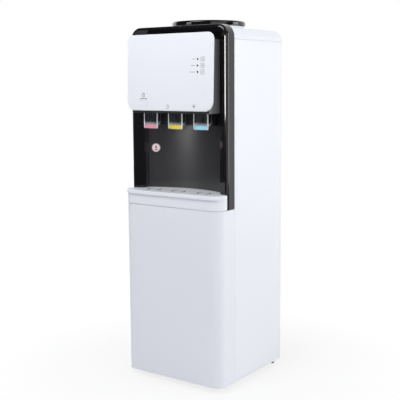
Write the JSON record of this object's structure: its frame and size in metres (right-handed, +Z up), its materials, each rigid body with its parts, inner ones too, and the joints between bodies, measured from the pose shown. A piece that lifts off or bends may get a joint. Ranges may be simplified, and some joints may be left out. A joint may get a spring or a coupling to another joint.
{
  "type": "water dispenser",
  "caption": "Floor-standing top-loading water dispenser with a bottle seat, a white control panel, clear push-lever taps in a black alcove and a lift-out drip tray.",
  "frame": {"origin": "centre of the bounding box on the floor", "axes": "+X to the right seen from the front, +Y to the rear, +Z up"},
  "size_m": [0.312, 0.335, 0.9533],
  "materials": {
    "white_steel": "satin white paint",
    "white_plastic": "smooth white",
    "black_gloss": "piano black",
    "black_satin": "satin black",
    "grey_plastic": "grey",
    "clear": "clear",
    "red_band": "pink red",
    "yellow_band": "yellow",
    "blue_band": "light blue",
    "lens": "dark lens",
    "rubber": "black rubber",
    "silicone": "milky silicone",
    "steel": "stainless",
    "zinc": "zinc plated",
    "black_metal": "black enamel",
    "copper": "copper",
    "foam": "white foam",
    "board": "green board",
    "red_rocker": "red",
    "green_rocker": "green"
  },
  "bodies": {
    "cabinet": {"base_pan": "zinc", "feet": "rubber", "left_side_panel": "white_steel", "right_side_panel": "white_steel", "rear_panel": "zinc", "rear_screws": "zinc", "top_cover": "white_plastic", "lower_front_panel": "white_plastic", "tray_holder": "white_plastic", "front_bezel": "black_gloss", "alcove_liner": "black_satin", "tap_hood": "black_satin", "tap_carrier": "black_satin", "control_panel": "white_plastic", "indicator_lenses": "lens", "indicator_board": "board", "hot_tap": "grey_plastic", "normal_tap": "grey_plastic", "cold_tap": "grey_plastic", "hot_hose": "silicone", "normal_hose": "silicone", "cold_hose": "silicone", "lever_pins": "steel", "tap_nuts": "grey_plastic", "seat_seal": "silicone", "cold_tank": "steel", "cold_insulation": "foam", "evaporator_coil": "copper", "tank_shelves": "zinc", "hot_tank": "steel", "hot_jacket": "foam", "drain_hose": "silicone", "drain_spigot": "grey_plastic", "cord_gland": "black_satin", "compressor": "black_metal", "compressor_mounts": "rubber", "relay_box": "black_satin", "refrigerant_lines": "copper", "filter_drier": "copper", "condenser_tube": "black_metal", "condenser_wires": "black_metal", "condenser_clips": "zinc", "switch_bodies": "black_satin"},
    "hot_push": {"hot_lever": "clear", "hot_band": "red_band"},
    "normal_push": {"normal_lever": "clear", "normal_band": "yellow_band"},
    "cold_push": {"cold_lever": "clear", "cold_band": "blue_band"},
    "hot_valve": {"hot_stem": "white_plastic"},
    "normal_valve": {"normal_stem": "white_plastic"},
    "cold_valve": {"cold_stem": "white_plastic"},
    "lock": {"lock_button": "white_plastic"},
    "heating_switch": {"heating_rocker": "red_rocker"},
    "cooling_switch": {"cooling_rocker": "green_rocker"},
    "tray": {"drip_tray": "black_satin"},
    "grid": {"drip_grid": "white_plastic"},
    "seat": {"bottle_seat": "black_gloss", "bottle_spike": "white_plastic"},
    "cap": {"drain_cap": "black_satin"}
  },
  "joints": [
    {"name": "hot_lever_push", "type": "hinge", "parent": "cabinet", "child": "hot_push", "pos_m": [-0.081, -0.1285, 0.726], "axis": [1, 0, 0], "range_deg": [0, 12], "stiffness_Nm_per_rad": 1, "springref_deg": -5.73},
    {"name": "hot_valve_lift", "type": "slide", "parent": "cabinet", "child": "hot_valve", "axis": [0, 0, 1], "range_m": [0, 0.00418]},
    {"name": "normal_lever_push", "type": "hinge", "parent": "cabinet", "child": "normal_push", "pos_m": [0, -0.1285, 0.726], "axis": [1, 0, 0], "range_deg": [0, 12], "stiffness_Nm_per_rad": 1, "springref_deg": -5.73},
    {"name": "normal_valve_lift", "type": "slide", "parent": "cabinet", "child": "normal_valve", "axis": [0, 0, 1], "range_m": [0, 0.00418]},
    {"name": "cold_lever_push", "type": "hinge", "parent": "cabinet", "child": "cold_push", "pos_m": [0.081, -0.1285, 0.726], "axis": [1, 0, 0], "range_deg": [0, 12], "stiffness_Nm_per_rad": 1, "springref_deg": -5.73},
    {"name": "cold_valve_lift", "type": "slide", "parent": "cabinet", "child": "cold_valve", "axis": [0, 0, 1], "range_m": [0, 0.00418]},
    {"name": "lock_press", "type": "slide", "parent": "cabinet", "child": "lock", "axis": [0, 0.9994, -0.0354], "range_m": [0, 0.0015], "stiffness_N_per_m": 800},
    {"name": "heating_rock", "type": "hinge", "parent": "cabinet", "child": "heating_switch", "pos_m": [0.07, 0.1395, 0.862], "axis": [1, 0, 0], "range_deg": [-20, 0]},
    {"name": "cooling_rock", "type": "hinge", "parent": "cabinet", "child": "cooling_switch", "pos_m": [0.1, 0.1395, 0.862], "axis": [1, 0, 0], "range_deg": [-20, 0]},
    {"name": "tray_lift", "type": "slide", "parent": "cabinet", "child": "tray", "axis": [0, 0, 1], "range_m": [0, 0.05]},
    {"name": "grid_lift", "type": "slide", "parent": "tray", "child": "grid", "axis": [0, 0, 1], "range_m": [0, 0.05]},
    {"name": "seat_lift", "type": "slide", "parent": "cabinet", "child": "seat", "axis": [0, 0, 1], "range_m": [0, 0.13]},
    {"name": "cap_off", "type": "slide", "parent": "cabinet", "child": "cap", "axis": [0, 1, 0], "range_m": [0, 0.03]}
  ],
  "couplings": [
    {"joint": "hot_lever_push", "follows": "hot_valve_lift", "rad_per_m": 50},
    {"joint": "normal_lever_push", "follows": "normal_valve_lift", "rad_per_m": 50},
    {"joint": "cold_lever_push", "follows": "cold_valve_lift", "rad_per_m": 50}
  ]
}
